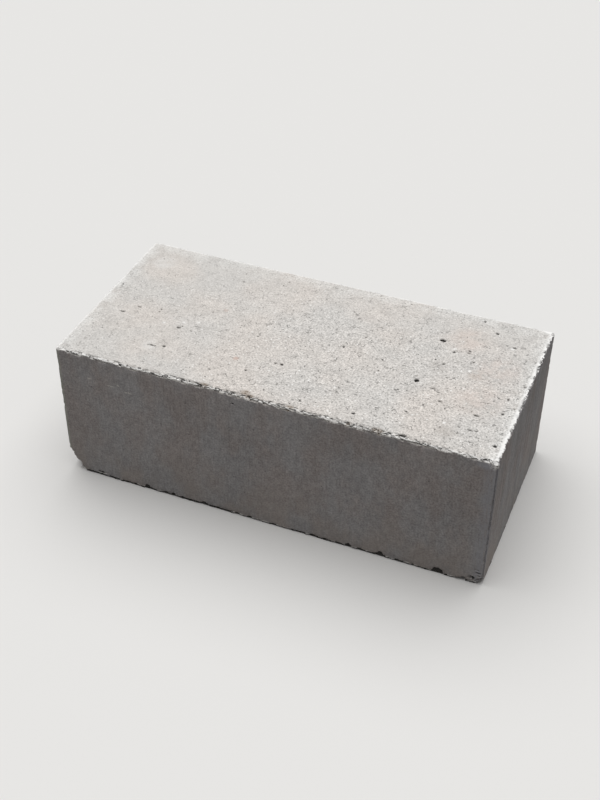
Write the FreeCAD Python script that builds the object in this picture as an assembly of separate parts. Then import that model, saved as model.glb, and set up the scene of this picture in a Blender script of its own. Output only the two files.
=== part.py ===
"""Fly ash brick: one solid block, pressed in a steel mould and cured.

Lengths are in millimetres. X runs along the long sides, Y from the front face to the back, and
Z up. The origin is the centre of the lower bed face.

The large top and bottom are the bed faces, which take the mortar. The long sides are the
stretcher faces and the ends are the header faces. An arris is the line where two faces meet.
"""

import FreeCAD
import Part

import math
import os

# The block's nominal size, which a wall is set out by.
LENGTH = 230.0
WIDTH = 110.0
HEIGHT = 80.0

# The upright arrises. Three have a small radius. At the front right one, two plates of the mould
# met with a slight gap, and the fin that it left has broken out as a narrow groove.
ARRIS_RADIUS = 1.0
GROOVE_WIDTH = 0.5
GROOVE_DEPTH = 0.8

# Corners broken off the lower bed: how far each break runs along X, along Y and up Z.
LEFT_BREAK = (9.0, 7.5, 14.0)
RIGHT_BREAK = (15.0, 6.0, 5.0)

# Chips knocked out of the lower front arris: distance from the end, then width and height on the
# face. None is higher than half its width.
CHIPS_FROM_LEFT = (
    (46.5, 5.0, 2.3),
    (58.0, 8.0, 1.6),
    (80.0, 5.0, 1.7),
    (98.5, 4.0, 1.2),
)
CHIPS_FROM_RIGHT = (
    (23.0, 7.0, 3.2),
    (53.0, 6.0, 2.4),
    (70.0, 4.5, 1.9),
    (89.5, 4.0, 1.7),
)

# Cutting tools run this far past the surface that they start from.
OVERCUT = 5.0


def pressed_block():
    """The block as it leaves the mould, with three upright arrises rounded."""
    corner = FreeCAD.Vector(-LENGTH / 2, -WIDTH / 2, 0)
    block = Part.makeBox(LENGTH, WIDTH, HEIGHT, corner)
    rounded = []
    for edge in block.Edges:
        middle = edge.CenterOfMass
        upright = abs(middle.z - HEIGHT / 2) < HEIGHT / 4
        grooved = middle.x > 0 and middle.y < 0
        if upright and not grooved:
            rounded.append(edge)
    return block.makeFillet(ARRIS_RADIUS, rounded)


def joint_groove():
    """The slot down the front right arris, cut in along the diagonal of the corner."""
    slot = Part.makeBox(
        OVERCUT + GROOVE_DEPTH,
        GROOVE_WIDTH,
        HEIGHT + 2 * OVERCUT,
        FreeCAD.Vector(-GROOVE_DEPTH, -GROOVE_WIDTH / 2, -OVERCUT),
    )
    slot.rotate(FreeCAD.Vector(), FreeCAD.Vector(0, 0, 1), -45)
    slot.translate(FreeCAD.Vector(LENGTH / 2, -WIDTH / 2, 0))
    return slot


def corner_break(side, size):
    """What has gone from a lower front corner: all that lies outside one slanting plane.

    side is -1 for the left corner and 1 for the right one.
    """
    along_x, along_y, up_z = size
    corner = FreeCAD.Vector(side * LENGTH / 2, -WIDTH / 2, 0)
    points = [
        corner + FreeCAD.Vector(-side * along_x, 0, 0),
        corner + FreeCAD.Vector(0, along_y, 0),
        corner + FreeCAD.Vector(0, 0, up_z),
    ]
    middle = (points[0] + points[1] + points[2]) / 3
    outward = (corner - middle).normalize()
    wide = [middle + (point - middle) * 4 for point in points]
    plane = Part.Face(Part.makePolygon(wide + wide[:1]))
    return plane.extrude(outward * max(size))


def chip(from_end, side, width, height):
    """A ball that takes a scallop of this width and height out of the lower front arris.

    Its centre lies as far in front of the front face as it does below the lower bed, so the
    scallop is as deep in the bed as it is high in the face. Its poles, where its surface comes
    to a point, are turned to lie in the open, one in front of the brick and one below it.
    """
    outside = ((width / 2) ** 2 - height**2) / (2 * height)
    radius = math.hypot(outside, outside + height)
    centre = FreeCAD.Vector(
        side * (LENGTH / 2 - from_end),
        -WIDTH / 2 - outside,
        -outside,
    )
    return Part.makeSphere(radius, centre, FreeCAD.Vector(0, 1, -1))


def brick():
    """The finished block, with its groove, its two broken corners and its chips."""
    tools = [joint_groove(), corner_break(-1, LEFT_BREAK), corner_break(1, RIGHT_BREAK)]
    tools += [chip(from_end, -1, width, height) for from_end, width, height in CHIPS_FROM_LEFT]
    tools += [chip(from_end, 1, width, height) for from_end, width, height in CHIPS_FROM_RIGHT]
    return pressed_block().cut(tools)


def main():
    shape = brick()
    if not shape.isValid() or len(shape.Solids) != 1:
        raise RuntimeError("the brick is not one valid solid")
    os.makedirs("parts", exist_ok=True)
    shape.Solids[0].exportStep("parts/brick.step")
    box = shape.optimalBoundingBox()
    print(f"brick: {box.XLength:.2f} x {box.YLength:.2f} x {box.ZLength:.2f} mm,")
    print(f"{shape.Volume / 1000:.1f} cm3, {len(shape.Faces)} faces")


main()
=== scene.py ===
"""Looks of the fly ash brick: its worn arrises, chips, pits and grain, on a plain pale floor.

The brick is one piece. A dense block surface is carved inwards in numpy: first onto the CAD
solid, which holds the broken corners and the large chips, then by rougher and smaller damage.
Only the back walls of the lower chips come forward again, and nothing passes the CAD's box, so
the brick keeps its CAD size. How deep the small damage goes is kept on the mesh as the attribute
"hollow", by which the material paints shade in it, and the rest of the material is worked out
from the place on the brick.

Sizes are in millimetres unless a comment says otherwise. The frame is the CAD's: X along the
brick, Y from its front face to its back, and Z up from the lower bed. Places in the tables below
are distances from the left end, from the front face and from the lower bed.
"""

import itertools
import math

import bpy
import numpy as np
from mathutils import Matrix, Vector
from mathutils.bvhtree import BVHTree


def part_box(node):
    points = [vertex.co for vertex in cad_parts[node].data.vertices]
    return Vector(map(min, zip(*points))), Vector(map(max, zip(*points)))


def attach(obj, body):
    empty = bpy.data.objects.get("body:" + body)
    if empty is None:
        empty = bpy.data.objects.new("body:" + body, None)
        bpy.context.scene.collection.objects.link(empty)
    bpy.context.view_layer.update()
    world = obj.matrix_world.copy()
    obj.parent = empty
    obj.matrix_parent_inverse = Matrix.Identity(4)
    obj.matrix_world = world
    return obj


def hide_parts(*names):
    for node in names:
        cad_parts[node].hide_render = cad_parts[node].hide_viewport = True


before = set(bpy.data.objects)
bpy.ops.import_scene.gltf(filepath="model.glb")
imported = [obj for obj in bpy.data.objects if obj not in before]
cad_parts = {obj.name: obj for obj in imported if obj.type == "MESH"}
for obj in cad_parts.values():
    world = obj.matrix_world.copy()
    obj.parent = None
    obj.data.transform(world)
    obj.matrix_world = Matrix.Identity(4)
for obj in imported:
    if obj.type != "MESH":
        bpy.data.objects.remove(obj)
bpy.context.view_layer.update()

MM = 0.001
NODE = "brick"
LOW, HIGH = (np.array(corner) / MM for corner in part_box(NODE))
CENTRE = (LOW + HIGH) / 2
HALF = (HIGH - LOW) / 2
X, Y, Z = range(3)

# The carved surface: how far its points are from an arris, in steps that widen, and how far apart
# they are past those. It is then thinned to this number of triangles.
NEAR_ARRIS = np.concatenate([np.arange(0, 0.6, 0.12), np.arange(0.6, 3.0, 0.2)])
STEP = 0.38
TRIANGLES = 190_000
SHARP_ANGLE = math.radians(35)

# Each arris is named by the ends of the two axes that it lies between. It has: how far it is worn
# back along each of the two, how far apart its small chips are, how wide the largest of them is,
# and how deep its pockmarks are.
WEAR = {
    (Y, -1, Z, 1): (0.25, 0.30, 1.5, 4.5, 1.20),
    (Y, 1, Z, 1): (0.30, 0.30, 2.5, 2.5, 0.25),
    (X, -1, Z, 1): (0.30, 0.30, 2.5, 2.5, 0.25),
    (X, 1, Z, 1): (0.35, 0.40, 1.3, 3.0, 1.00),
    (Y, -1, Z, -1): (0.30, 1.10, 1.5, 5.0, 0.80),
    (Y, 1, Z, -1): (0.50, 0.60, 2.0, 5.0, 0.50),
    (X, -1, Z, -1): (0.50, 0.60, 2.0, 5.0, 0.50),
    (X, 1, Z, -1): (0.50, 0.60, 2.0, 5.0, 0.50),
    (X, -1, Y, -1): (0.20, 0.20, 2.5, 6.0, 0.25),
    (X, 1, Y, 1): (0.20, 0.20, 3.0, 5.0, 0.25),
    (X, -1, Y, 1): (0.20, 0.20, 3.0, 5.0, 0.25),
    (X, 1, Y, -1): (0.10, 0.10, 6.0, 2.0, 0.15),
}
POCK_LENGTH = 2.3
POCK_WIDTH = 1.0
POCK_REACH = 1.3

# Chips that stand out: the arris, then how far along it from its low end, width and height.
CHIPS = (
    ((Y, -1, Z, -1), 14.0, 32.0, 1.6),
    ((Y, -1, Z, -1), 106.0, 3.4, 1.5),
    ((Y, -1, Z, -1), 128.0, 3.2, 1.2),
    ((Y, -1, Z, -1), 135.0, 2.6, 1.1),
    ((Y, -1, Z, -1), 166.6, 3.8, 1.7),
    ((X, -1, Y, -1), 10.2, 5.4, 2.6),
    ((X, -1, Y, -1), 16.5, 6.0, 0.8),
    ((Y, -1, Z, 1), 1.5, 4.0, 1.0),
    ((Y, -1, Z, 1), 74.0, 5.4, 0.8),
    ((Y, -1, Z, 1), 83.0, 4.0, 1.0),
    ((Y, -1, Z, 1), 101.0, 5.2, 0.9),
    ((Y, -1, Z, 1), 130.0, 6.0, 0.9),
    ((Y, -1, Z, 1), 158.0, 4.0, 0.9),
    ((Y, -1, Z, 1), 172.0, 5.6, 0.8),
    ((Y, -1, Z, 1), 228.5, 5.0, 1.5),
    ((X, 1, Z, 1), 4.0, 3.4, 1.1),
)

# Pits that stand out on the upper bed: from the left, from the front, widths along X and Y, and
# depth. Then those on the front face: from the left, from the lower bed, widths along X and Z, and
# depth. Then how many small ones are scattered over both beds.
UPPER_PITS = (
    (178.8, 81.4, 3.2, 2.4, 1.9),
    (176.6, 44.5, 2.7, 2.9, 1.9),
    (183.3, 2.2, 4.6, 1.8, 1.2),
    (156.8, 8.6, 2.2, 1.8, 1.0),
    (222.4, 35.1, 2.0, 1.8, 1.0),
    (225.0, 11.1, 2.0, 2.2, 1.0),
    (110.9, 31.2, 1.8, 1.6, 1.0),
    (203.0, 98.0, 2.2, 1.7, 0.9),
    (222.0, 47.0, 1.8, 1.6, 0.8),
    (226.5, 41.0, 1.6, 1.4, 0.7),
    (187.0, 74.0, 2.2, 1.6, 0.8),
    (194.0, 76.0, 3.0, 1.2, 0.7),
    (214.0, 89.0, 4.0, 1.2, 0.7),
    (211.0, 29.5, 4.0, 1.4, 0.8),
    (211.5, 18.0, 4.0, 1.2, 0.7),
    (206.0, 18.5, 2.8, 1.2, 0.7),
    (186.0, 41.5, 2.6, 1.2, 0.7),
    (192.0, 33.0, 2.4, 1.1, 0.7),
    (227.0, 59.5, 2.4, 1.1, 0.6),
    (44.0, 21.0, 4.4, 1.3, 0.8),
    (50.0, 22.5, 2.4, 1.8, 0.7),
    (22.0, 49.0, 3.6, 1.3, 0.7),
    (16.0, 42.0, 3.0, 1.3, 0.7),
    (49.5, 40.0, 3.2, 1.6, 0.7),
)
FRONT_PITS = (
    (18.5, 2.6, 6.0, 1.6, 0.9),
    (46.5, 1.8, 4.0, 3.2, 0.8),
    (57.0, 1.1, 5.5, 2.4, 0.8),
    (61.5, 1.2, 3.0, 3.0, 0.8),
    (80.0, 1.4, 4.6, 2.8, 0.8),
    (98.5, 1.0, 3.4, 2.2, 0.7),
    (140.5, 1.2, 3.4, 2.6, 0.7),
    (160.0, 1.4, 4.0, 2.8, 0.8),
    (177.0, 1.7, 4.6, 3.2, 0.8),
    (207.0, 2.2, 5.4, 4.2, 0.9),
    (224.5, 3.7, 3.4, 2.8, 1.2),
    (228.0, 6.0, 3.0, 1.0, 0.7),
    (227.3, 7.9, 3.4, 1.0, 0.7),
    (226.5, 9.8, 3.0, 0.9, 0.6),
    (72.0, 66.0, 1.3, 1.3, 0.7),
    (98.0, 74.0, 1.4, 1.2, 0.7),
)
SCATTERED_PITS = 170

# How far apart the steps in a broken corner are.
BREAK_STEP = 0.7

# Damage to the lower front arris goes no deeper than NOTCH_DEPTH behind the front face, so that
# its back wall, painted dark as shade, shows from above. That holds up to NOTCH_REACH from the
# arris, for all that is higher than NOTCH_FLOOR.
NOTCH_DEPTH = 0.5
NOTCH_REACH = 4.0
NOTCH_FLOOR = 0.15

# The groove down the front right arris: how wide it is to each side, and how deep.
GROOVE_REACH = 0.3
GROOVE_DEPTH = 0.75

# Marks on the upper bed, each by its place: white grains; crumbs of soil, with their width; and
# stains, with their width, strength and screen colour. Then scratches on the front face: from the
# left, from the lower bed, and length.
WHITE_GRAINS = ((41, 41.3), (50.5, 45.3), (57.7, 48.3), (199, 62), (187, 77), (214, 88))
SOIL = (
    (83, 1.5, 3.5),
    (104, 4, 3.5),
    (107, 2, 3.0),
    (158, 1, 2.5),
    (172, 1, 4.5),
    (128, 1.5, 3.0),
)
STAINS = (
    (209.5, 41, 16, 0.3, (206, 188, 178)),
    (191, 87, 14, 0.3, (206, 188, 178)),
    (212, 68, 16, 0.3, (206, 188, 178)),
    (66, 63.6, 1.8, 0.7, (190, 150, 134)),
    (88.3, 27.2, 2.2, 0.6, (196, 164, 150)),
    (14.5, 93, 9, 0.6, (222, 220, 217)),
    (43.8, 21.4, 7, 0.5, (224, 222, 219)),
    (202, 13, 7, 0.45, (172, 165, 158)),
    (184, 60, 7, 0.4, (176, 170, 164)),
    (203, 60, 6, 0.45, (186, 170, 158)),
)
SCRATCHES = ((18.5, 66.2, 4.0), (31.0, 64.8, 6.5), (40.5, 63.4, 7.0), (35.0, 66.4, 2.5))

# Screen colours: painted shade, pale broken ledges with a painted highlight, the floor, the
# backdrop, and the light that the floor gives back to the brick.
PAINTED_SHADE = (38, 36, 34)
PALE_BREAK_AND_HIGHLIGHT = (232, 230, 226)
FLOOR = (228, 227, 225)
BACKDROP = (231, 230, 228)
FLOOR_LIGHT = (141, 138, 134)

# Light: the sky lamp's width, strength and turn, and the strength of the even light all round.
SKY_WIDTH = math.radians(80)
SKY_STRENGTH = 2.62
SKY_TURN = (math.radians(-11), math.radians(-7), 0)
EVEN_LIGHT = 0.22

# Camera: where it is from the brick's lower centre, in metres, and how it is turned.
CAMERA_AT = (0.1893, -0.4794, 0.4510)
CAMERA_AZIMUTH = math.radians(21.95)
CAMERA_ELEVATION = math.radians(38.5)
CAMERA_ROLL = math.radians(0.42)
CAMERA_LENS = 56.1

# Values that smooth noise is drawn between, and factors that mix a cell and a seed into a key.
NOISE_VALUES = np.random.default_rng(7).uniform(-1, 1, 1 << 16)
MIXERS = (73856093, 19349663, 83492791, 2654435761)


def noise(points, size, seed):
    """Smooth noise from -1 to 1 at each point, with features about this size."""
    cell = points / size
    base = np.floor(cell).astype(np.int64)
    ease = cell - base
    ease = ease * ease * (3 - 2 * ease)
    total = np.zeros(len(points))
    for step in itertools.product((0, 1), repeat=3):
        at = base + step
        key = at[:, X] * MIXERS[0] ^ at[:, Y] * MIXERS[1] ^ at[:, Z] * MIXERS[2] ^ seed * MIXERS[3]
        weight = np.where(step, ease, 1 - ease).prod(axis=1)
        total += weight * NOISE_VALUES[(key ^ key >> 15) & 0xFFFF]
    return total


def ticks(low, high):
    """Positions from low to high, closer together beside both ends."""
    reach = NEAR_ARRIS[-1] + STEP
    count = round((high - low - 2 * reach) / STEP)
    middle = np.linspace(low + reach, high - reach, count + 1)
    return np.concatenate([low + NEAR_ARRIS, middle, high - NEAR_ARRIS[::-1]])


def block_surface():
    """Points and quads over the whole block, sharing their points along each arris."""
    lines = [ticks(LOW[axis], HIGH[axis]) for axis in range(3)]
    counts = [len(line) for line in lines]
    quads = []
    for axis in range(3):
        across, along = (axis + 1) % 3, (axis + 2) % 3
        cells = np.indices((counts[across] - 1, counts[along] - 1)).reshape(2, -1)
        for end, turn in ((0, -1), (counts[axis] - 1, 1)):
            corners = np.empty((3, 4, cells.shape[1]), int)
            corners[axis] = end
            for number, step in enumerate(((0, 0), (1, 0), (1, 1), (0, 1))[::turn]):
                corners[across, number] = cells[0] + step[0]
                corners[along, number] = cells[1] + step[1]
            quads.append(np.ravel_multi_index(tuple(corners), counts).T)
    used, quads = np.unique(np.concatenate(quads), return_inverse=True)
    places = np.unravel_index(used, counts)
    points = np.stack([line[place] for line, place in zip(lines, places)], axis=1)
    return points, quads.reshape(-1, 4)


class Carving:
    """The surface as it is carved.

    It holds the points, how deep small damage goes at each, which of them lie on a broken corner,
    and the points along each arris in order.
    """

    def __init__(self, points):
        self.points = points
        self.hollow = np.zeros(len(points))
        self.broken = np.zeros(len(points), bool)
        self.order = {}

    def sink_faces(self):
        """Each face sinks a little where the mould was worn, and by less than a sand grain."""
        points = self.points
        facing = np.where(points >= HIGH - 1e-3, 1, 0) - np.where(points <= LOW + 1e-3, 1, 0)
        sink = 0.07 + 0.05 * noise(points, 14, 4) + 0.01 * noise(points, 2.5, 5)
        self.points = points - facing * sink[:, None]

    def onto_cad(self, cad):
        """Moves the points onto the CAD solid, and roughens what that took off the block."""
        tree = BVHTree.FromPolygons(
            [vertex.co for vertex in cad.vertices],
            [face.vertices[:] for face in cad.polygons],
        )
        hits = [tree.find_nearest(point) for point in (self.points * MM).tolist()]
        places = np.array([hit[0] for hit in hits]) / MM
        facing = np.array([hit[1] for hit in hits])
        moved = np.linalg.norm(places - self.points, axis=1)
        rough = 0.3 + 0.35 * noise(self.points, 1.6, 2) + 0.2 * noise(self.points, 0.7, 3)
        depth = np.clip((moved - 0.25) / 0.8, 0, 1) * np.maximum(rough, 0)
        self.points = places - facing * depth[:, None]
        self.hollow = np.where(moved > 0.5, moved + depth, 0)

    def break_along(self, middle, outward):
        """Breaks off what lies outside a facet of the CAD, in steps that go up to 2 mm deeper."""
        over = (self.points - middle) @ outward
        near = np.flatnonzero(over > -3)
        flat = self.points[near] - over[near, None] * outward
        rough = 0.7 + 1.1 * noise(flat, 3.6, 24) + 0.5 * noise(flat, 1.5, 22)
        steps = np.floor(rough / BREAK_STEP)
        rise = np.clip((rough / BREAK_STEP - steps) * 3 - 1, 0, 1)
        depth = BREAK_STEP * (steps + rise) + 0.2 * noise(flat, 0.7, 23)
        cut = np.maximum(over[near] + np.maximum(depth, 0), 0)
        self.points[near] -= cut[:, None] * outward
        self.hollow[near[over[near] > -1]] = 0
        self.broken[near[cut > 0]] = True

    def beside(self, arris, reach):
        """Which points lie within reach of an arris, and how far each lies beyond both faces."""
        first, first_end, second, second_end = arris
        over_first = first_end * (self.points[:, first] - CENTRE[first]) - HALF[first]
        over_second = second_end * (self.points[:, second] - CENTRE[second]) - HALF[second]
        near = np.flatnonzero((over_first > -reach) & (over_second > -reach))
        return near, over_first[near], over_second[near]

    def wear(self, arris, worn_first, worn_second):
        """Cuts back one arris by a slope whose width changes along it."""
        first, first_end, second, second_end = arris
        near, over_first, over_second = self.beside(arris, 5.0)
        here = self.points[near]
        seed = 10 + first * 8 + second * 4 + first_end * 2 + second_end
        width = 1 + 0.5 * noise(here, 6, seed) + 0.9 * noise(here, 1.3, seed + 40)
        steepness = 1 / worn_first**2 + 1 / worn_second**2
        beyond = over_first / worn_first + over_second / worn_second + width
        cut = np.maximum(beyond, 0) / steepness
        self.points[near, first] -= first_end * cut / worn_first
        self.points[near, second] -= second_end * cut / worn_second
        # On the lower arrises the cut also counts as hollow, where the material paints a contact
        # shadow.
        if (second, second_end) == (Z, -1):
            self.hollow[near] += 0.8 * np.clip(4 * beyond, 0, 1)

    def pock(self, arris, deepest):
        """Pocks both faces beside an arris with small hollows that lie along it."""
        first, first_end, second, second_end = arris
        near, over_first, over_second = self.beside(arris, 1.5 * POCK_REACH)
        sizes = np.full(3, POCK_WIDTH)
        sizes[3 - first - second] = POCK_LENGTH
        here = self.points[near]
        seed = 60 + first * 8 + second * 4 + first_end * 2 + second_end
        crowded = 0.4 * noise(here, 16, seed)
        pattern = np.clip((noise(here / sizes, 1.0, seed + 40) - 0.12 + crowded) * 5, 0, 1)
        fade = np.clip(1.5 + np.minimum(over_first, over_second) / POCK_REACH, 0, 1)
        hollow = deepest * pattern * fade
        on_first = over_first > over_second
        self.points[near, first] -= first_end * np.where(on_first, hollow, 0)
        self.points[near, second] -= second_end * np.where(on_first, 0, hollow)
        self.hollow[near] += hollow

    def chip(self, arris, along_it, width, height, shift=0.0):
        """Takes a ball out of an arris. It leaves a scallop of this width and height.

        The ball's centre lies outside both faces, and shift moves it along the second face's
        normal, towards the arris's first face.
        """
        first, first_end, second, second_end = arris
        axis = 3 - first - second
        outside = ((width / 2) ** 2 - height**2) / (2 * height)
        centre = np.empty(3)
        centre[axis] = LOW[axis] + along_it
        centre[first] = CENTRE[first] + first_end * (HALF[first] + outside)
        centre[second] = CENTRE[second] + second_end * (HALF[second] + outside - shift)
        radius = math.hypot(outside, outside + height)
        order, places = self.order[arris]
        low, high = np.searchsorted(places, (centre[axis] - width, centre[axis] + width))
        near = order[low:high]
        offset = self.points[near] - centre
        away = np.linalg.norm(offset, axis=1)
        ragged = np.minimum(0.35 * height, 0.4) * noise(self.points[near], 0.25 * height + 0.4, 31)
        inside = away < radius + ragged
        chosen = near[inside]
        reach = (radius + ragged)[inside]
        self.points[chosen] = centre + offset[inside] * (reach / away[inside])[:, None]
        self.hollow[chosen] += reach - away[inside]

    def chip_arrises(self):
        """The chips that stand out, and smaller ones all along every arris."""
        for arris in WEAR:
            axis = 3 - arris[0] - arris[2]
            near, _, _ = self.beside(arris, 4.0)
            near = near[np.argsort(self.points[near, axis], kind="stable")]
            self.order[arris] = (near, self.points[near, axis])
        for chip in CHIPS:
            self.chip(*chip)
        rng = np.random.default_rng(19)
        for arris, (_, _, spacing, widest, _) in WEAR.items():
            length = 2 * HALF[3 - arris[0] - arris[2]]
            for along_it in np.arange(0, length, spacing):
                width = 0.8 + (widest - 0.8) * rng.uniform() ** 2.0
                height = width**0.6 * rng.uniform(0.15, 0.42)
                place = along_it + rng.uniform(-spacing, spacing)
                self.chip(arris, place, width, height, rng.uniform(-0.3, 0.5) * height)

    def pit(self, centre, face_axis, face_end, widths, depth):
        """Presses a steep rounded hollow of these widths and this depth into one face."""
        sides = [axis for axis in range(3) if axis != face_axis]
        offset = self.points[:, sides] - np.asarray(centre)[sides]
        near = np.flatnonzero((np.abs(offset) < np.asarray(widths)).all(axis=1))
        surface = CENTRE[face_axis] + face_end * HALF[face_axis]
        near = near[np.abs(self.points[near, face_axis] - surface) < 2]
        here = self.points[near]
        reach = np.linalg.norm(offset[near] / (np.asarray(widths) / 2), axis=1)
        reach = reach + 0.35 * noise(here, 1.1, 9)
        hollow = depth * np.clip(1 - reach**3, 0, 1)
        self.points[near, face_axis] -= face_end * hollow
        self.hollow[near] += hollow

    def pit_faces(self):
        """The pits that stand out, then small ones scattered over both beds."""
        for from_left, from_front, along, across, depth in UPPER_PITS:
            self.pit(on_top(from_left, from_front), Z, 1, (along, across), depth)
        for from_left, from_below, along, across, depth in FRONT_PITS:
            self.pit(on_front(from_left, from_below), Y, -1, (along, across), depth)
        rng = np.random.default_rng(11)
        for number in range(SCATTERED_PITS):
            centre = rng.uniform(LOW + 1, HIGH - 1)
            width = 0.8 + 1.1 * rng.uniform() ** 3
            widths = (width, width * rng.uniform(0.7, 1.1))
            self.pit(centre, Z, (-1) ** number, widths, 0.5 * width)

    def wall_notches(self):
        """Gives the notches in the lower front arris an upright back wall."""
        near, _, _ = self.beside((Y, -1, Z, -1), NOTCH_REACH)
        raised = self.points[near, Z] > LOW[Z] + NOTCH_FLOOR
        walled = near[raised & ~self.broken[near]]
        self.points[walled, Y] = np.minimum(self.points[walled, Y], LOW[Y] + NOTCH_DEPTH)

    def cut_groove(self):
        """Opens the groove down the front right arris."""
        corner = np.array([HIGH[X], LOW[Y]])
        away = np.linalg.norm(self.points[:, :2] - corner, axis=1)
        depth = GROOVE_DEPTH * np.clip(1.6 - away / GROOVE_REACH, 0, 1)
        self.points[:, X] -= depth * math.sqrt(0.5)
        self.points[:, Y] += depth * math.sqrt(0.5)
        # The groove's depth counts as hollow, so the material paints shade in it.
        self.hollow += depth


def slanting_facets(cad):
    """Middle and outward normal of each large facet of the CAD that leans along all three axes."""
    return [
        (np.array(face.center) / MM, np.array(face.normal))
        for face in cad.polygons
        if min(abs(part) for part in face.normal) > 0.2 and face.area > 10 * MM**2
    ]


def carved_block():
    """Points, quads and hollows of the whole surface of the brick."""
    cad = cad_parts[NODE].data
    points, quads = block_surface()
    carving = Carving(points)
    carving.sink_faces()
    carving.onto_cad(cad)
    for middle, outward in slanting_facets(cad):
        carving.break_along(middle, outward)
    for arris, (worn_first, worn_second, _, _, pocks) in WEAR.items():
        carving.wear(arris, worn_first, worn_second)
        carving.pock(arris, pocks)
    carving.chip_arrises()
    carving.cut_groove()
    carving.pit_faces()
    carving.wall_notches()
    return np.clip(carving.points, LOW, HIGH), quads, carving.hollow


def on_top(from_left, from_front):
    """A place on the upper bed."""
    return (LOW[X] + from_left, LOW[Y] + from_front, HIGH[Z])


def on_front(from_left, from_below):
    """A place on the front face."""
    return (LOW[X] + from_left, LOW[Y], LOW[Z] + from_below)


def over_faces(points):
    """How far each point lies beyond each pair of faces. It is below 0 inside."""
    return np.abs(points - CENTRE) - HALF


def face_map(mesh):
    """Lays the six faces out flat in one square map, so that no two of them share a place."""
    gap = 4.0
    length, width, height = HIGH - LOW
    rows = np.cumsum([0, width + gap, width + gap, height + gap])
    side = rows[3] + height
    corners = {
        (Z, 1): (0, rows[0]),
        (Z, -1): (0, rows[1]),
        (Y, -1): (0, rows[2]),
        (Y, 1): (0, rows[3]),
        (X, 1): (length + gap, rows[0]),
        (X, -1): (length + gap, rows[1]),
    }
    points = np.empty(len(mesh.vertices) * 3, np.float32)
    mesh.vertices.foreach_get("co", points)
    points = points.reshape(-1, 3) / MM
    vertex = np.empty(len(mesh.loops), np.int32)
    mesh.loops.foreach_get("vertex_index", vertex)
    middles = points[vertex].reshape(-1, 3, 3).mean(axis=1)
    facing = over_faces(middles).argmax(axis=1)
    end = np.sign(np.take_along_axis(middles - CENTRE, facing[:, None], axis=1))[:, 0]
    places = np.zeros((len(vertex), 2))
    for (axis, side_end), corner in corners.items():
        across, along = {Z: (X, Y), Y: (X, Z), X: (Y, Z)}[axis]
        chosen = np.repeat((facing == axis) & (end == side_end), 3)
        here = points[vertex[chosen]] - LOW
        places[chosen] = here[:, (across, along)] + corner
    layer = mesh.uv_layers.new(name="OFBake", do_init=False)
    layer.uv.foreach_set("vector", ((places + gap / 2) / (side + gap)).astype(np.float32).ravel())


def thinned(mesh, triangles):
    """A copy of the mesh with about this many triangles, kept where the surface turns most."""
    carrier = bpy.data.objects.new("carrier", mesh)
    bpy.context.scene.collection.objects.link(carrier)
    decimate = carrier.modifiers.new("thin", "DECIMATE")
    decimate.ratio = triangles / (2 * len(mesh.polygons))
    decimate.use_collapse_triangulate = True
    graph = bpy.context.evaluated_depsgraph_get()
    thin = bpy.data.meshes.new_from_object(carrier.evaluated_get(graph))
    bpy.data.objects.remove(carrier)
    return thin


def brick_mesh():
    """The brick's carved, thinned and mapped mesh."""
    points, quads, hollow = carved_block()
    dense = bpy.data.meshes.new("dense")
    dense.from_pydata(points * MM, [], quads)
    dense.attributes.new("hollow", "FLOAT", "POINT").data.foreach_set("value", hollow)
    mesh = thinned(dense, TRIANGLES)
    bpy.data.meshes.remove(dense)
    face_map(mesh)
    mesh.polygons.foreach_set("use_smooth", np.ones(len(mesh.polygons), bool))
    mesh.set_sharp_from_angle(angle=SHARP_ANGLE)
    return mesh


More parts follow.
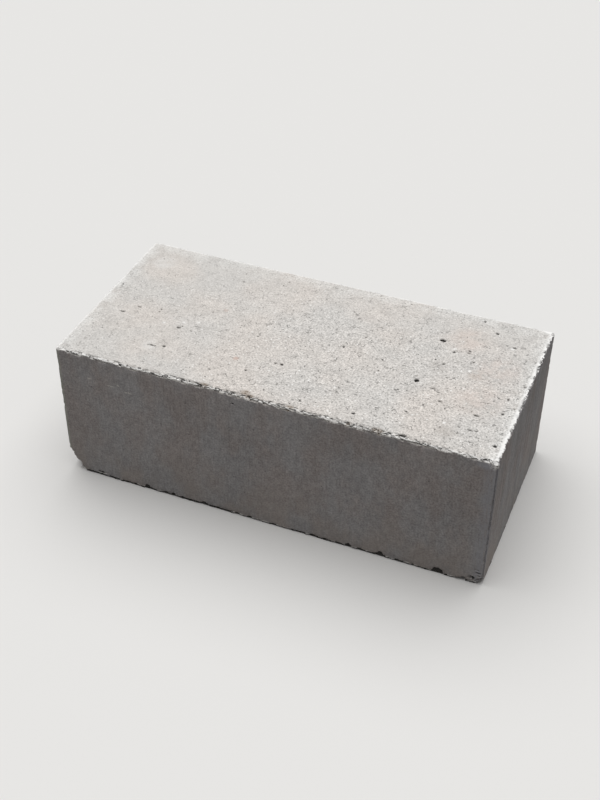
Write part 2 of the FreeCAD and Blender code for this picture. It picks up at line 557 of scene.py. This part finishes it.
class Shader:
    """Short ways to add nodes to one material or world."""

    def __init__(self, owner):
        owner.use_nodes = True
        self.tree = owner.node_tree
        self.tree.nodes.clear()

    def add(self, kind, inputs, **settings):
        """A new node. inputs holds a value or another node's output for each input named."""
        node = self.tree.nodes.new("ShaderNode" + kind)
        for name, value in settings.items():
            setattr(node, name, value)
        for name, value in inputs.items():
            if isinstance(value, bpy.types.NodeSocket):
                self.tree.links.new(value, node.inputs[name])
            else:
                node.inputs[name].default_value = value
        return node

    def math(self, operation, *values, clamp=False):
        """One sum on numbers."""
        inputs = dict(enumerate(values))
        return self.add("Math", inputs, operation=operation, use_clamp=clamp).outputs[0]

    def product(self, *values):
        """All the values multiplied together."""
        total = values[0]
        for value in values[1:]:
            total = self.math("MULTIPLY", total, value)
        return total

    def most(self, *values):
        """The largest of the values."""
        total = values[0]
        for value in values[1:]:
            total = self.math("MAXIMUM", total, value)
        return total

    def vector(self, operation, *values):
        """One sum on vectors. values go to its inputs in order."""
        inputs = dict(enumerate(values))
        node = self.add("VectorMath", inputs, operation=operation)
        return node.outputs["Value" if operation == "LENGTH" else "Vector"]

    def ramp(self, value, low, high, to_low=0.0, to_high=1.0):
        """value from low to high, eased into to_low to to_high and kept there."""
        inputs = {0: value, 1: low, 2: high, 3: to_low, 4: to_high}
        return self.add("MapRange", inputs, interpolation_type="SMOOTHSTEP").outputs[0]

    def noise(self, place, size, detail=2.0, roughness=0.5):
        """Noise from 0 to 1 with features about this size."""
        inputs = {"Vector": place, "Scale": 1 / size, "Detail": detail, "Roughness": roughness}
        return self.add("TexNoise", inputs).outputs["Fac"]

    def shaken(self, place, size, far):
        """The place, moved this far by noise of this size, so that a shape there is ragged."""
        shift = self.add("TexNoise", {"Vector": place, "Scale": 1 / size}).outputs["Color"]
        return self.vector("MULTIPLY_ADD", shift, (far,) * 3, place)

    def spots(self, place, cell, share, smallest, largest, shift=0.0):
        """Round spots, 1 in the middle and 0 outside, in this share of the cells."""
        place = self.vector("ADD", place, (shift, 0.0, 0.0))
        cells = self.add("TexVoronoi", {"Vector": place, "Scale": 1 / cell})
        pick = self.add("SeparateColor", {0: cells.outputs["Color"]})
        radius = self.math("MULTIPLY_ADD", pick.outputs[1], largest - smallest, smallest)
        chosen = self.math("LESS_THAN", pick.outputs[0], share)
        away = self.math("MULTIPLY", cells.outputs["Distance"], cell)
        inside = self.math("SUBTRACT", 1.0, self.math("DIVIDE", away, radius), clamp=True)
        return self.math("MULTIPLY", self.ramp(inside, 0.0, 0.5), chosen)

    def mark(self, place, centre, radii):
        """1 in the middle of an ellipsoid and 0 outside it."""
        offset = self.vector("SUBTRACT", place, centre)
        reach = self.vector("LENGTH", self.vector("DIVIDE", offset, radii))
        return self.ramp(reach, 0.3, 1.0, 1.0, 0.0)

    def mix(self, factor, first, second):
        """Two colours mixed."""
        inputs = {0: factor, 6: first, 7: second}
        return self.add("Mix", inputs, data_type="RGBA", clamp_factor=True).outputs[2]

    def shade(self, colour, amount):
        """A colour made lighter or darker by a factor."""
        grey = self.add("CombineXYZ", {0: amount, 1: amount, 2: amount}).outputs[0]
        return self.vector("MULTIPLY", colour, grey)


def colour(red, green, blue):
    """A screen colour, 0 to 255, as the linear colour that a shader takes."""
    linear = [((value / 255 + 0.055) / 1.055) ** 2.4 for value in (red, green, blue)]
    return (*linear, 1.0)


class BrickPlace:
    """Outputs that say where on the brick a point of the material lies."""

    def __init__(self, s):
        metres = s.add("TexCoord", {}).outputs["Object"]
        self.mm = s.vector("DIVIDE", metres, (MM,) * 3)
        from_centre = s.vector("ABSOLUTE", s.vector("SUBTRACT", self.mm, tuple(CENTRE)))
        over = s.vector("SUBTRACT", from_centre, tuple(HALF))
        self.over = s.add("SeparateXYZ", {0: over}).outputs
        self.at = s.add("SeparateXYZ", {0: s.vector("SUBTRACT", self.mm, tuple(LOW))}).outputs
        self.over_side = s.most(self.over[X], self.over[Y])
        nearer = s.math("MINIMUM", self.over[X], self.over[Y])
        second = s.most(nearer, s.math("MINIMUM", self.over_side, self.over[Z]))
        self.from_arris = s.math("MULTIPLY", second, -1.0)
        self.upper = s.ramp(self.at[Z], 20.0, 60.0)
        self.right_half = s.ramp(self.at[X], HALF[X], 2 * HALF[X])
        self.ragged = s.shaken(self.mm, 1.2, 1.0)
        normal = s.add("SeparateXYZ", {0: s.add("NewGeometry", {}).outputs["Normal"]}).outputs
        self.facing_up = s.ramp(normal[Z], 0.25, 0.6)
        self.hollow = s.add("Attribute", {}, attribute_name="hollow").outputs["Fac"]


def bed_share(s, brick):
    """1 on the two beds and 0 on the four mould faces. Then 1 on ledges, where no shade is
    painted.

    The pale bed runs over the upper arrises, and the mould faces run over the lower ones. The
    line between them is ragged, and less so at the upper back and left arrises.
    """
    clean = s.most(
        s.ramp(brick.at[Y], 104.0, 108.0),
        s.ramp(brick.at[X], 2.0, 6.0, 1.0, 0.0),
    )
    clean = s.product(clean, brick.upper)
    jitter = s.ramp(s.noise(brick.mm, 1.5, 3.0, 0.7), 0.3, 0.7, -1.1, 1.1)
    jitter = s.product(jitter, s.ramp(clean, 0.0, 1.0, 1.0, 0.3))
    lean = s.math("ADD", jitter, s.ramp(brick.upper, 0.0, 1.0, -0.4, 0.45))
    lean = s.math("ADD", lean, s.product(clean, 0.6))

    # On the right upper arris the mould face runs a little way up instead, without ledges.
    end_first = s.ramp(s.math("SUBTRACT", brick.over[X], brick.over[Y]), 0.0, 2.0)
    right = s.product(end_first, brick.right_half, brick.upper)
    lean = s.math("MULTIPLY_ADD", right, -0.45, lean)
    # Ledges that face up near the upper arrises take the pale bed colour: partly their broken
    # body's own colour, partly a painted highlight.
    ledge = s.product(brick.facing_up, s.ramp(brick.over[Z], -3.5, -2.0))
    ledge = s.product(ledge, s.math("SUBTRACT", 1.0, right))

    towards_bed = s.math("SUBTRACT", brick.over[Z], brick.over_side)
    bed = s.most(s.ramp(s.math("ADD", towards_bed, lean), -0.1, 0.2), ledge)
    shade_free = s.most(ledge, s.product(right, 0.6))
    return bed, s.product(shade_free, s.ramp(brick.from_arris, 1.2, 2.2, 1.0, 0.0))


def brick_material():
    """Pale sandy bed faces and darker, smoother mould faces, with pits, grains and stains."""
    material = bpy.data.materials.new("fly_ash_body")
    s = Shader(material)
    brick = BrickPlace(s)
    grain = s.noise(brick.mm, 1.0, 2.0, 0.7)
    bed, shade_free = bed_share(s, brick)
    bed_colour, bed_height = bed_finish(s, brick, grain)
    side_colour, side_height = side_finish(s, brick, grain)

    # Painted shade in the hollows, in the groove and in the cracks of the front top arris, and
    # a painted contact shadow at the foot. The foot is told by height alone, so the whole lower
    # bed is as dark as it is.
    painted_shade = s.product(s.ramp(brick.hollow, 0.25, 0.7, 0.0, 0.94), s.math("SUBTRACT", 1.0, shade_free))
    dashes, ledges = front_dashes(s, brick)
    ragged_height = s.add("SeparateXYZ", {0: brick.ragged}).outputs[Z]
    foot = s.ramp(ragged_height, 1.1, 1.6, 0.94, 0.0)
    painted_shade = s.most(painted_shade, foot, dashes, groove_line(s, brick))
    base = s.mix(bed, side_colour, bed_colour)
    # Pale ledges on the front top arris, partly the broken body's colour and partly a painted
    # highlight.
    base = s.mix(ledges, base, colour(*PALE_BREAK_AND_HIGHLIGHT))
    base = s.mix(painted_shade, base, colour(*PAINTED_SHADE))

    rise = s.math("SUBTRACT", bed_height, side_height)
    height = s.math("MULTIPLY_ADD", bed, rise, side_height)
    bump = s.add("Bump", {"Strength": 1.0, "Distance": MM, "Height": height}).outputs[0]
    roughness = s.ramp(grain, 0.3, 0.7, 0.84, 0.96)
    surface = s.add("BsdfPrincipled", {"Base Color": base, "Roughness": roughness, "Normal": bump})
    surface.inputs["Specular IOR Level"].default_value = 0.25
    s.add("OutputMaterial", {"Surface": surface.outputs[0]})
    return material


def front_dashes(s, brick):
    """Short cracks, painted as shade, and the pale ledges between them, along the front top arris.

    The ledges are partly the pale broken body and partly a painted highlight.
    """
    stretched = s.vector("MULTIPLY", brick.mm, (0.3, 1.0, 1.0))
    pattern = s.noise(stretched, 0.8, 2.0, 0.6)
    middle = s.product(
        s.ramp(brick.at[X], 20.0, 60.0),
        s.ramp(brick.at[X], 175.0, 215.0, 1.0, 0.0),
    )
    crowd = s.ramp(s.noise(brick.mm, 16.0, 1.0), 0.35, 0.65)
    crowd = s.math("MULTIPLY_ADD", middle, 0.6, s.product(crowd, 0.4))
    top_strip = s.product(
        s.ramp(brick.at[Y], 1.2, 3.2, 1.0, 0.0),
        s.ramp(brick.over[Z], -0.9, -0.4),
    )
    front_strip = s.product(
        s.ramp(brick.at[Y], 0.4, 0.8, 1.0, 0.0),
        s.ramp(brick.over[Z], -1.9, -1.1),
    )
    dark = s.ramp(s.math("MULTIPLY_ADD", crowd, 0.12, pattern), 0.60, 0.65)
    pale = s.ramp(s.math("MULTIPLY_ADD", crowd, -0.10, pattern), 0.46, 0.40)
    return s.product(dark, top_strip, 0.9), s.product(pale, front_strip, 0.9)


def groove_line(s, brick):
    """1 in the mouth of the groove down the front right arris, painted as shade, and 0 elsewhere.
    """
    from_corner = s.math("SUBTRACT", brick.at[Y], brick.over[X])
    below_top = s.ramp(brick.at[Z], 2 * HALF[Z] - 5, 2 * HALF[Z] - 3, 1.0, 0.0)
    broken = s.ramp(s.noise(brick.mm, 2.2, 2.0), 0.35, 0.5, 0.8, 1.0)
    line = s.ramp(from_corner, 0.5, 0.75, 1.0, 0.0)
    return s.product(line, brick.right_half, below_top, broken)


def bed_finish(s, brick, grain):
    """Colour and height, in millimetres, of the sandy upper and lower beds."""
    broad = s.noise(brick.mm, 42, 2.0)
    cloud = s.noise(brick.mm, 8, 3.0, 0.6)
    clump = s.noise(brick.mm, 2.6, 2.0, 0.6)
    tone = s.mix(s.ramp(broad, 0.35, 0.65), colour(206, 203, 199), colour(210, 204, 198))

    # The grain is finer towards the left and the back, and the right and back rims are paler.
    coarse = s.ramp(brick.at[X], 30.0, 130.0, 0.58, 1.0)
    coarse = s.product(coarse, s.ramp(brick.at[Y], 60.0, 108.0, 1.0, 0.65))
    rim = s.most(s.ramp(brick.over[X], -10.0, -1.0), s.ramp(brick.at[Y], 98.0, 108.0, 0.0, 0.6))
    tone = s.mix(s.product(rim, s.ramp(cloud, 0.3, 0.6), 0.8), tone, colour(220, 219, 216))

    # Small pits and hairline cracks, darkened as painted shade in them.
    specks = s.spots(brick.ragged, 1.5, 0.40, 0.22, 0.50)
    pits = s.spots(brick.ragged, 5.0, 0.35, 0.35, 0.7)
    contour = s.math("ABSOLUTE", s.math("SUBTRACT", s.noise(brick.mm, 3.6, 2.0), 0.5))
    patches = s.ramp(s.noise(brick.mm, 4.4), 0.57, 0.63)
    hairlines = s.product(s.ramp(contour, 0.0, 0.028, 1.0, 0.0), patches)
    dark = s.most(s.product(specks, 0.5), s.product(pits, 0.8), s.product(hairlines, 0.6))
    dark = s.product(dark, coarse)
    bright = s.product(
        s.ramp(cloud, 0.3, 0.7, 0.95, 1.05),
        s.math("MULTIPLY_ADD", coarse, s.ramp(clump, 0.3, 0.7, -0.09, 0.09), 1.0),
        s.math("MULTIPLY_ADD", coarse, s.ramp(grain, 0.3, 0.7, -0.26, 0.26), 1.0),
        s.math("SUBTRACT", 1.0, dark),
    )
    tone = s.shade(tone, bright)

    small_grains = s.spots(brick.ragged, 1.9, 0.36, 0.3, 0.6, shift=40.0)
    large_grains = s.spots(brick.ragged, 9.0, 0.35, 0.4, 0.9, shift=80.0)
    pale = s.most(small_grains, large_grains)
    for place in WHITE_GRAINS:
        pale = s.most(pale, s.mark(brick.ragged, on_top(*place), (1.5, 1.3, 2.0)))
    tone = s.mix(s.product(pale, coarse, 0.9), tone, colour(249, 248, 245))
    tone = bed_marks(s, brick, grain, cloud, clump, tone)

    height = s.math("MULTIPLY", grain, 0.3)
    height = s.math("MULTIPLY_ADD", clump, 0.35, height)
    height = s.math("MULTIPLY_ADD", dark, -0.35, height)
    return tone, height


def bed_marks(s, brick, grain, cloud, clump, tone):
    """The beds' colour with the white lip of the upper bed, its stains and its soil crumbs."""
    # The lip runs along every upper arris, and is wider at the right one.
    near_right = s.ramp(brick.at[X], 2 * HALF[X] - 7, 2 * HALF[X] - 3)
    from_lip = s.math("MULTIPLY_ADD", near_right, -1.3, brick.from_arris)
    lip = s.ramp(from_lip, 0.0, 1.7, 1.0, 0.0)
    lip = s.product(lip, s.ramp(clump, 0.25, 0.5, 0.3, 1.0), brick.upper)
    tone = s.mix(lip, tone, colour(249, 248, 246))

    for from_left, from_front, size, strength, shade in STAINS:
        stain = s.mark(brick.ragged, on_top(from_left, from_front), (size, size, size))
        stain = s.product(stain, s.ramp(cloud, 0.3, 0.6))
        tone = s.mix(s.product(stain, strength), tone, colour(*shade))
    soil = 0.0
    for from_left, from_front, size in SOIL:
        crumb = s.mark(brick.ragged, on_top(from_left, from_front), (size, 0.7 * size, size))
        soil = s.most(soil, crumb)
    crumbs = s.product(soil, s.ramp(grain, 0.42, 0.56))
    tone = s.mix(s.product(soil, 0.25), tone, colour(170, 150, 122))
    return s.mix(s.product(crumbs, 0.85), tone, colour(104, 86, 68))


def side_finish(s, brick, grain):
    """Colour and height, in millimetres, of the smoother faces that slid against the mould."""
    streaks = s.noise(s.vector("MULTIPLY", brick.mm, (1.0, 1.0, 0.12)), 0.9, 2.0, 0.6)
    mottle = s.noise(brick.mm, 3.0, 3.0, 0.6)
    blotch = s.noise(s.vector("MULTIPLY", brick.mm, (1.0, 1.0, 0.5)), 15, 3.0, 0.55)
    broad = s.noise(brick.mm, 45, 1.0)
    wide_streaks = s.noise(s.vector("MULTIPLY", brick.mm, (1.0, 1.0, 0.07)), 2.6, 2.0, 0.6)
    on_end = s.ramp(s.math("SUBTRACT", brick.over[X], brick.over[Y]), -0.5, 0.5)
    tone = s.mix(s.ramp(blotch, 0.35, 0.65), colour(157, 155, 156), colour(161, 154, 152))
    dots = s.spots(brick.ragged, 6.0, 0.15, 0.25, 0.6)
    bright = s.product(
        s.ramp(grain, 0.3, 0.7, 0.78, 1.22),
        s.ramp(streaks, 0.3, 0.7, 0.93, 1.07),
        s.ramp(mottle, 0.3, 0.7, 0.90, 1.10),
        s.ramp(blotch, 0.3, 0.7, 1.05, 0.95),
        s.ramp(broad, 0.3, 0.7, 0.95, 1.05),
        s.ramp(brick.at[X], 60.0, 220.0, 1.02, 0.96),
        s.math("MULTIPLY_ADD", on_end, s.ramp(wide_streaks, 0.3, 0.7, -0.14, 0.14), 1.0),
        s.math("MULTIPLY_ADD", on_end, s.ramp(brick.at[Z], 0.0, 80.0, -0.06, -0.25), 1.0),
        s.math("MULTIPLY_ADD", dots, -0.45, 1.0),
    )
    tone = s.shade(tone, bright)

    # Dust from the ground, on the lower half.
    dust = s.product(s.ramp(brick.at[Z], 0.0, 40.0, 0.34, 0.0), s.ramp(blotch, 0.25, 0.7))
    tone = s.mix(dust, tone, colour(178, 170, 162))
    tone = side_marks(s, brick, grain, streaks, tone)

    height = s.math("MULTIPLY", grain, 0.1)
    height = s.math("MULTIPLY_ADD", streaks, 0.05, height)
    height = s.math("MULTIPLY_ADD", mottle, 0.12, height)
    height = s.math("MULTIPLY_ADD", dots, -0.2, height)
    return tone, height


def side_marks(s, brick, grain, streaks, tone):
    """The mould faces' colour with what stands out on the front face and at its two ends."""
    # Bluish beside the groove, and greenish and pale on the front left arris.
    in_front = s.ramp(brick.over[Y], -3.0, -1.0)
    front = s.product(in_front, s.ramp(brick.at[Y], 10.0, 20.0, 1.0, 0.0))
    near_right = s.ramp(brick.at[X], 2 * HALF[X] - 8, 2 * HALF[X] - 3)
    blue = s.product(near_right, s.ramp(streaks, 0.3, 0.6))
    tone = s.mix(s.product(blue, front, 0.6), tone, colour(160, 161, 168))
    green = s.product(s.ramp(brick.at[X], 0.8, 2.4, 1.0, 0.0), front, 0.6)
    tone = s.mix(green, tone, colour(168, 172, 160))

    # The near right top corner: a bluish smear, then pale crumbs.
    corner = (HIGH[X] - 5.5, LOW[Y], HIGH[Z] - 2.5)
    smear = s.mark(brick.ragged, corner, (6.0, 3.0, 3.5))
    tone = s.mix(s.product(smear, 0.5), tone, colour(170, 173, 182))
    corner = (HIGH[X] - 1.0, LOW[Y], HIGH[Z] - 1.0)
    crumbs = s.mark(brick.ragged, corner, (4.0, 4.0, 4.0))
    crumbs = s.product(crumbs, s.ramp(grain, 0.45, 0.55))
    tone = s.mix(crumbs, tone, colour(236, 235, 233))

    scratched = 0.0
    for from_left, from_below, length in SCRATCHES:
        scratch = s.mark(brick.ragged, on_front(from_left, from_below), (length / 2, 2.0, 0.7))
        scratched = s.most(scratched, scratch)
    scratched = s.product(scratched, s.ramp(grain, 0.35, 0.5), 0.9)
    return s.mix(scratched, tone, colour(206, 203, 198))


def make_brick():
    """The one piece of the object."""
    brick = bpy.data.objects.new("brick_surface", brick_mesh())
    bpy.context.scene.collection.objects.link(brick)
    brick.data.materials.append(brick_material())
    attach(brick, "root")
    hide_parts(NODE)
    return brick


def camera_colour(s, seen, otherwise):
    """One colour where the camera, gloss or glass looks, and another as a source of light."""
    path = s.add("LightPath", {}).outputs
    looked = s.most(path["Is Camera Ray"], path["Is Glossy Ray"], path["Is Transmission Ray"])
    return s.mix(looked, otherwise, seen)


def make_floor():
    """A wide pale floor that gives little light back to the brick's sides."""
    mesh = bpy.data.meshes.new("floor")
    reach = 8.0
    corners = [(-reach, -reach, 0), (reach, -reach, 0), (reach, reach, 0), (-reach, reach, 0)]
    mesh.from_pydata(corners, [], [(0, 1, 2, 3)])
    floor = bpy.data.objects.new("floor", mesh)
    bpy.context.scene.collection.objects.link(floor)
    material = bpy.data.materials.new("floor")
    s = Shader(material)
    pale = camera_colour(s, colour(*FLOOR), colour(*FLOOR_LIGHT))
    surface = s.add("BsdfDiffuse", {"Color": pale})
    s.add("OutputMaterial", {"Surface": surface.outputs[0]})
    mesh.materials.append(material)


def make_light():
    """A broad soft light from high behind the brick, with a weak even light from all round."""
    lamp = bpy.data.lights.new("sky", "SUN")
    lamp.angle = SKY_WIDTH
    lamp.energy = SKY_STRENGTH
    sky = bpy.data.objects.new("sky", lamp)
    sky.rotation_euler = SKY_TURN
    bpy.context.scene.collection.objects.link(sky)

    world = bpy.data.worlds.new("world")
    bpy.context.scene.world = world
    s = Shader(world)
    shown = camera_colour(s, colour(*BACKDROP), (EVEN_LIGHT, EVEN_LIGHT, EVEN_LIGHT, 1.0))
    background = s.add("Background", {"Color": shown, "Strength": 1.0})
    s.add("OutputWorld", {"Surface": background.outputs[0]})


def make_camera():
    """The camera, in front of the brick, to its right and above it."""
    lens = bpy.data.cameras.new("camera")
    lens.lens = CAMERA_LENS
    lens.clip_start = 0.01
    camera = bpy.data.objects.new("camera", lens)
    bpy.context.scene.collection.objects.link(camera)
    turn = Matrix.Rotation(CAMERA_AZIMUTH, 4, "Z")
    tilt = Matrix.Rotation(math.pi / 2 - CAMERA_ELEVATION, 4, "X")
    roll = Matrix.Rotation(CAMERA_ROLL, 4, "Z")
    camera.matrix_world = Matrix.Translation(Vector(CAMERA_AT)) @ turn @ tilt @ roll
    bpy.context.scene.camera = camera


make_brick()
make_floor()
make_light()
make_camera()
bpy.context.scene.view_settings.view_transform = "Standard"
